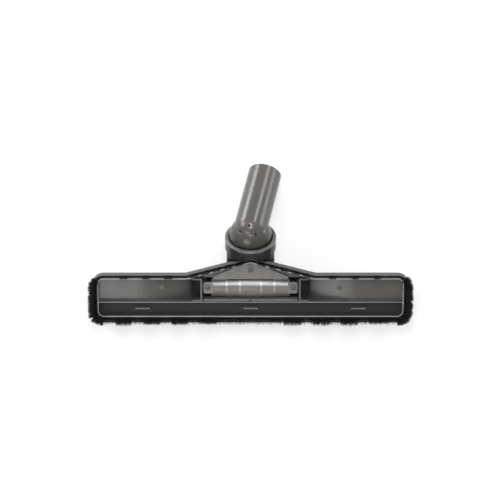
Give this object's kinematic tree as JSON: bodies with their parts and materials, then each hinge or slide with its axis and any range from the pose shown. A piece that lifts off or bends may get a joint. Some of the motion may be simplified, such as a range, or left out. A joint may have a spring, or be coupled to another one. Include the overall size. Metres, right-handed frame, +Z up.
{
  "type": "vacuum floor brush head",
  "caption": "Wide vacuum floor brush head lying sole up, with a bristle rim, suction channels, a tilting neck and a swivel elbow that takes the wand.",
  "frame": {"origin": "centre of the bounding box's underside, on the floor that the head lies on", "axes": "+X along the head to the right in the picture, +Y from the head to the neck and wand tube, +Z up, out of the sole's side"},
  "size_m": [0.3572, 0.1794, 0.0654],
  "materials": {
    "sole_plastic": "moulded, glossy",
    "cover_plastic": "moulded, glossy",
    "neck_plastic": "moulded, glossy",
    "holder_plastic": "moulded, matte",
    "bristle_nylon": "cut fibre",
    "screw_steel": "zinc plated",
    "seal_rubber": "moulded"
  },
  "bodies": {
    "head": {"sole_frame": "sole_plastic", "top_cover": "cover_plastic", "pivot_cover": "sole_plastic", "side_screws": "screw_steel", "rear_screw": "screw_steel", "brush_holder_front": "holder_plastic", "bristles_front": "bristle_nylon", "brush_holder_end_left": "holder_plastic", "bristles_end_left": "bristle_nylon", "brush_holder_rear_left": "holder_plastic", "bristles_rear_left": "bristle_nylon", "brush_holder_apex_left": "holder_plastic", "bristles_apex_left": "bristle_nylon", "brush_holder_end_right": "holder_plastic", "bristles_end_right": "bristle_nylon", "brush_holder_rear_right": "holder_plastic", "bristles_rear_right": "bristle_nylon", "brush_holder_apex_right": "holder_plastic", "bristles_apex_right": "bristle_nylon"},
    "neck": {"neck": "neck_plastic", "retaining_ring": "neck_plastic"},
    "elbow": {"elbow": "neck_plastic", "swivel_seal": "seal_rubber"}
  },
  "joints": [
    {"name": "neck_tilt", "type": "hinge", "parent": "head", "child": "neck", "pos_m": [0, -0.04378, 0.0157], "axis": [-1, 0, 0], "range_deg": [-2, 55]},
    {"name": "elbow_swivel", "type": "hinge", "parent": "neck", "child": "elbow", "pos_m": [0, 0.00871, 0.03954], "axis": [0, 0.7176, 0.6965], "continuous": true}
  ]
}
